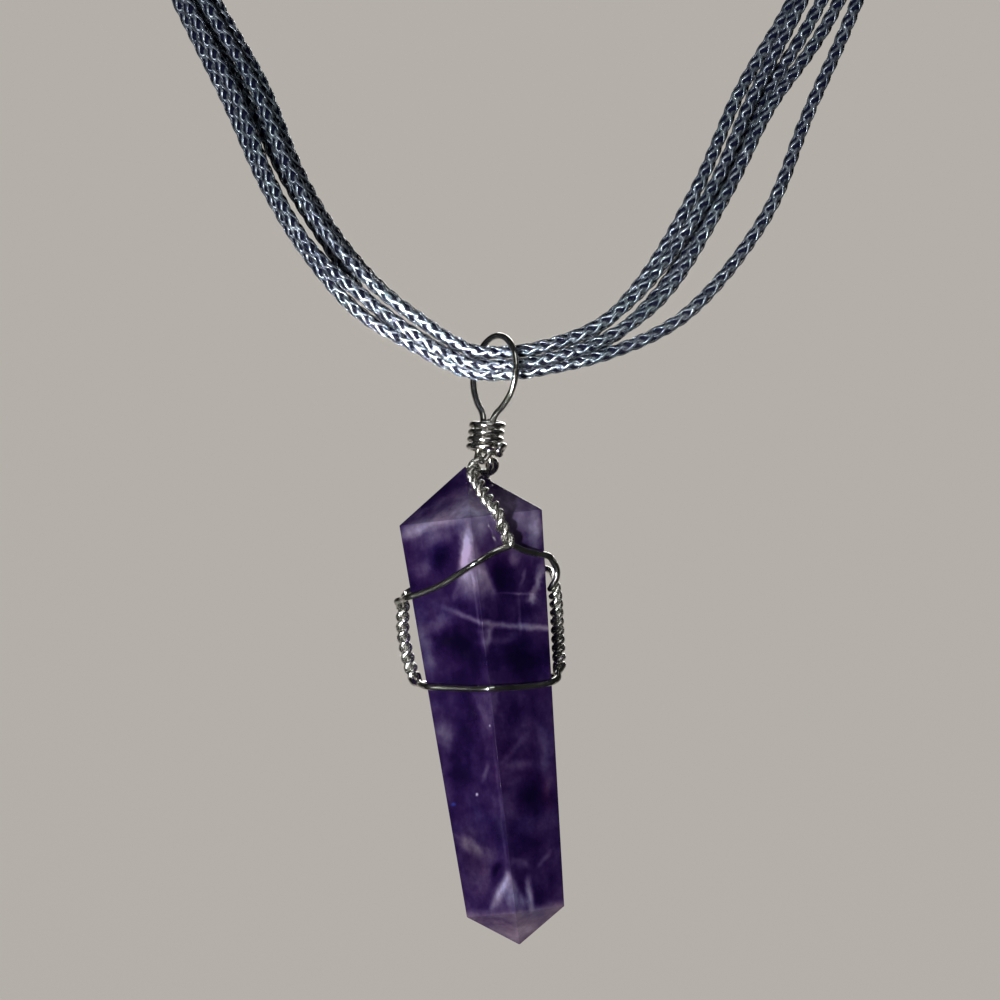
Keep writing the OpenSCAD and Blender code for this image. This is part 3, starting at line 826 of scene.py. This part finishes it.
print("knitted strands")
strand = {
    "thickness": 1.12,
    "yarnWide": 0.29,
    "yarnThick": 0.115,
    "core": 0.8,
    "coreStep": 0.8,
    "coreSides": 8,
    "pitch": 1.35,  # one stitch along the strand
    "loops": 3,  # round the strand
    "loopHeight": 0.78,
    "stretch": 0.06,  # share of this that the loops differ by
    "flare": 38,  # degrees that the sides of a loop lean outward
    "depth": 0.055,  # half of how far the yarn sinks in at a loop's tips
    "uneven": 4,  # degrees that the stitches differ from each other
    "roll": 14,  # degrees that a strand rolls to and fro on its way
    "rollEvery": 22,
    "turnOver": 60,  # degrees that it rolls at the bail, so the stitches point up on both sides
    "turnReach": 8,  # mm each way from the bail that this takes, about
    "fineReach": 46,  # mm along the strand each way from the bail with the finest loops
    "fineSteps": 20,
    "plainSteps": 10,
    "sides": 6,
}
yarnLook = {
    "dark": (0.053, 0.068, 0.102, 1),
    "pale": (0.205, 0.236, 0.28, 1),
    "greener": (0.94, 1.03, 0.98, 1),
    "metallic": 0.65,
    "roughness": (0.24, 0.44),
    # the core's dark navy, darkened to near black as painted shade in the knit's holes
    "coreToneAndHoleShade": ((0.002, 0.003, 0.014, 1), (0.006, 0.008, 0.03, 1)),
    "fibres": 0.03,  # depth in mm
}
bundle = (-0.97, 0, -0.3, 0.92, -0.3, -0.92, 0.78, 0.57, 0.78, -0.57)
sideBySide = (-1.3, -0.1, -0.65, 0.9, 0, -0.55, 0.65, 0.6, 1.3, -0.5)
# Middle of the five strands, then up and out for each one, as in the solids
strandRows = [
    (-7.4, 2.3, 0) + bundle,
    (-13.4, 2.3, 0) + bundle,
    (-28, -3, -0.5) + sideBySide,
    (-43, -14, -1.5) + sideBySide,
    (-54, -31, -4) + sideBySide,
    (-58, -51, -10) + sideBySide,
    (-56, -70, -20) + sideBySide,
    (-49, -88, -36) + sideBySide,
    (-38, -99, -59) + sideBySide,
    (-24, -104, -88, -1.3, -0.1, -0.64, 0.9, -0.1, -0.55, 0.66, 0.6, 1.3, -0.5),
    (-20, -104.5, -95.5, -1.54, -0.2, -0.75, 0.75, -0.1, -0.7, 0.9, 0.5, 1.5, -0.55),
    (-17, -105, -102.5, -1.4, -0.45, -0.9, 0.62, 0.3, -1.25, 0.9, 0.5, 1.4, -0.56),
    (-14, -105, -107.5, -1.33, -0.5, -0.87, 0.6, 0.4, -1.45, 0.87, 0.6, 1.35, -0.5),
    (-10, -105, -112, -1.4, -0.1, -0.2, 0.7, -0.2, -0.95, 1.03, 0.6, 1.2, -0.62),
    (-6, -105, -114.8, -1.05, 0.05, -0.3, 0.94, -0.3, -0.94, 0.9, 0.55, 0.95, -0.62),
    (-3.6, -105, -116.2) + bundle,
    (-1.6, -105, -117) + bundle,
    (1.6, -105, -117) + bundle,
    (3.6, -105, -116.7) + bundle,
    (8.4, -105, -115.2, -1.35, 0.1, -0.2, 0.85, -0.4, -0.8, 1, 0.55, 0.85, -0.7),
    (12.5, -105, -111.3, -3.35, 0, -1, 0.55, -0.6, -0.7, 0.6, 0.6, 1, -0.6),
    (17.4, -105, -103.3, -4.75, 0, -1.1, 0.35, -0.6, -0.8, 0.1, 0.5, 1.15, -0.45),
    (20.8, -104.5, -96.1, -4.4, 0, -1.3, 0.3, -0.5, -0.6, 0.3, 0.45, 1.35, -0.45),
    (25.6, -104, -88.4, -3.1, 0, -1.6, 0.3, -0.4, -0.35, 1.1, 0.7, 1.65, -0.4),
    (38, -99, -60, -1.8, -0.1, -0.65, 0.9, 0, -0.55, 0.65, 0.6, 1.3, -0.5),
    (49, -88, -36) + sideBySide,
    (56, -70, -20) + sideBySide,
    (58, -51, -10) + sideBySide,
    (54, -31, -4) + sideBySide,
    (43, -14, -1.5) + sideBySide,
    (28, -3, -0.5) + sideBySide,
    (13.4, 2.3, 0) + bundle,
    (7.4, 2.3, 0) + bundle,
]
neckMiddle = -55
neckRadius = 58


def strandLine(k):
    rows = smoothRows(strandRows, 40)
    t = headings(rows[:, :3])
    away = unit(np.stack([(rows[:, 0] / neckRadius) ** 3, (rows[:, 1] - neckMiddle) / neckRadius,
                          0 * rows[:, 0]], axis=-1))
    out = squareTo(away, t)
    up = np.cross(out, t)
    return rows[:, :3] + rows[:, 3 + 2 * k, None] * up + rows[:, 4 + 2 * k, None] * out, out


def makeYarns(look):
    yarn, tree, shader = newMaterial("metallicYarn")
    place = objectPlace(tree)
    tint = noiseAt(tree, place, 1.6, 4, 0.65)
    shade = blendColor(tree, fade(tree, tint.outputs["Fac"], 0.36, 0.64), look["dark"], look["pale"])
    green = noiseAt(tree, place, 0.25, 2, 0.5)
    greenish = fade(tree, green.outputs["Fac"], 0.45, 0.7)
    shade = blendColor(tree, greenish, shade, look["greener"], "MULTIPLY")
    tree.links.new(shade, shader.inputs["Base Color"])
    shader.inputs["Metallic"].default_value = look["metallic"]
    shader.inputs["Specular IOR Level"].default_value = 0.8
    worn = fade(tree, noiseAt(tree, place, 4, 2, 0.6).outputs["Fac"], 0.35, 0.65)
    smooth, rough = look["roughness"]
    tree.links.new(calc(tree, "MULTIPLY_ADD", worn, rough - smooth, smooth), shader.inputs["Roughness"])
    fibres = noiseAt(tree, place, 12, 2, 0.5)
    tree.links.new(bump(tree, fibres.outputs["Fac"], look["fibres"], 0.5), shader.inputs["Normal"])
    core, tree, shader = newMaterial("darkCore")
    place = objectPlace(tree)
    tint = noiseAt(tree, place, 5, 3, 0.6)
    # core tone: dark navy thread and painted shade of the knit's holes
    tree.links.new(blendColor(tree, tint.outputs["Fac"], *look["coreToneAndHoleShade"]), shader.inputs["Base Color"])
    shader.inputs["Roughness"].default_value = 0.8
    shader.inputs["Specular IOR Level"].default_value = 0.05
    fibres = noiseAt(tree, place, 20, 2, 0.5)
    tree.links.new(bump(tree, fibres.outputs["Fac"], look["fibres"], 0.8), shader.inputs["Normal"])
    return yarn, core


def rings(path, one, two, halfOne, halfTwo, sides, turn=0.0):  # an oval ring at each point
    b = 2 * np.pi * np.arange(sides) / sides + turn
    ring = (path[:, None] + halfOne * np.cos(b)[None, :, None] * one[:, None]
            + halfTwo * np.sin(b)[None, :, None] * two[:, None])
    return ring.reshape(-1, 3)


def knit(k, look, materials):
    rng = np.random.default_rng(20 + k)
    line, out = strandLine(k)
    far = along(line)
    total = far[-1]
    ahead = line[:, 1] < neckMiddle
    bailAt = far[ahead][np.argmin(np.abs(line[ahead, 0]))]
    # the core: the cord's dark navy thread, taken down to near black as painted shade inside the hollow
    # knit
    places = np.linspace(0, total, int(total / look["coreStep"]))
    mid = placeAlong(line, places)
    t = headings(mid)
    side = squareTo(fieldAlong(out, far, places), t)
    points = [rings(mid, side, np.cross(t, side), look["core"] / 2, look["core"] / 2, look["coreSides"])]
    faces = ringFaces(len(mid), look["coreSides"])
    slots = [1] * len(faces)
    # one yarn in a long spiral of loops
    first = look["loopHeight"] + look["yarnWide"]
    rise = look["pitch"] / look["loops"]
    stitches = int((total - 2 * first) / rise)
    tau = []
    for n in range(stitches):
        near = abs(first + n * rise - bailAt) < look["fineReach"]
        steps = look["fineSteps"] if near else look["plainSteps"]
        tau.append(n + np.arange(steps) / steps)
    tau = np.concatenate(tau)
    part = tau % 1.0
    stitchEnds = np.arange(stitches + 1)
    sway, stretch = (np.interp(tau, stitchEnds, rng.normal(0, 1, stitches + 1)) for _ in range(2))
    upward = (first + tau * rise
              - look["loopHeight"] * (1 + look["stretch"] * stretch.clip(-2, 2)) * np.cos(2 * np.pi * part))
    knots = np.arange(0, total + look["rollEvery"], look["rollEvery"])
    a = (360 / look["loops"] * (tau - 0.5)
         + look["flare"] * np.sin(4 * np.pi * part)
         + look["uneven"] * sway
         + np.interp(upward, knots, rng.normal(0, look["roll"], len(knots)))
         + look["turnOver"] / 2 * (1 + np.tanh((upward - bailAt) / look["turnReach"])))
    a = np.radians(a)
    r = (look["thickness"] - look["yarnThick"]) / 2 - look["depth"] * (1 + np.cos(4 * np.pi * part))
    heading = unit(fieldAlong(headings(line), far, upward))
    side = squareTo(fieldAlong(out, far, upward), heading)
    radial = np.cos(a)[:, None] * side + np.sin(a)[:, None] * np.cross(heading, side)
    path = placeAlong(line, upward) + r[:, None] * radial
    own = headings(path)
    one = squareTo(radial, own)
    loopFaces = ringFaces(len(path), look["sides"], len(points[0]))
    points.append(rings(path, one, np.cross(own, one), look["yarnThick"] / 2, look["yarnWide"] / 2,
                        look["sides"], np.pi / look["sides"]))
    return makeObject("knittedStrand%d" % (k + 1), np.vstack(points), faces + loopFaces, materials,
                      slots=slots + [0] * len(loopFaces))


yarns = makeYarns(yarnLook)
for k in range(5):
    piece = knit(k, strand, yarns)
    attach(piece, "necklace")
    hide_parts("strand_%d" % (k + 1))
    print("strand", k + 1, "triangles", sum(len(f.vertices) - 2 for f in piece.data.polygons))

print("caps and clasp")
for node in ("end_cap_left", "end_cap_right", "clasp"):
    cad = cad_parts[node]
    cad.data.materials.clear()
    cad.data.materials.append(satinSilver)

modelBox = [list(corner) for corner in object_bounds()]
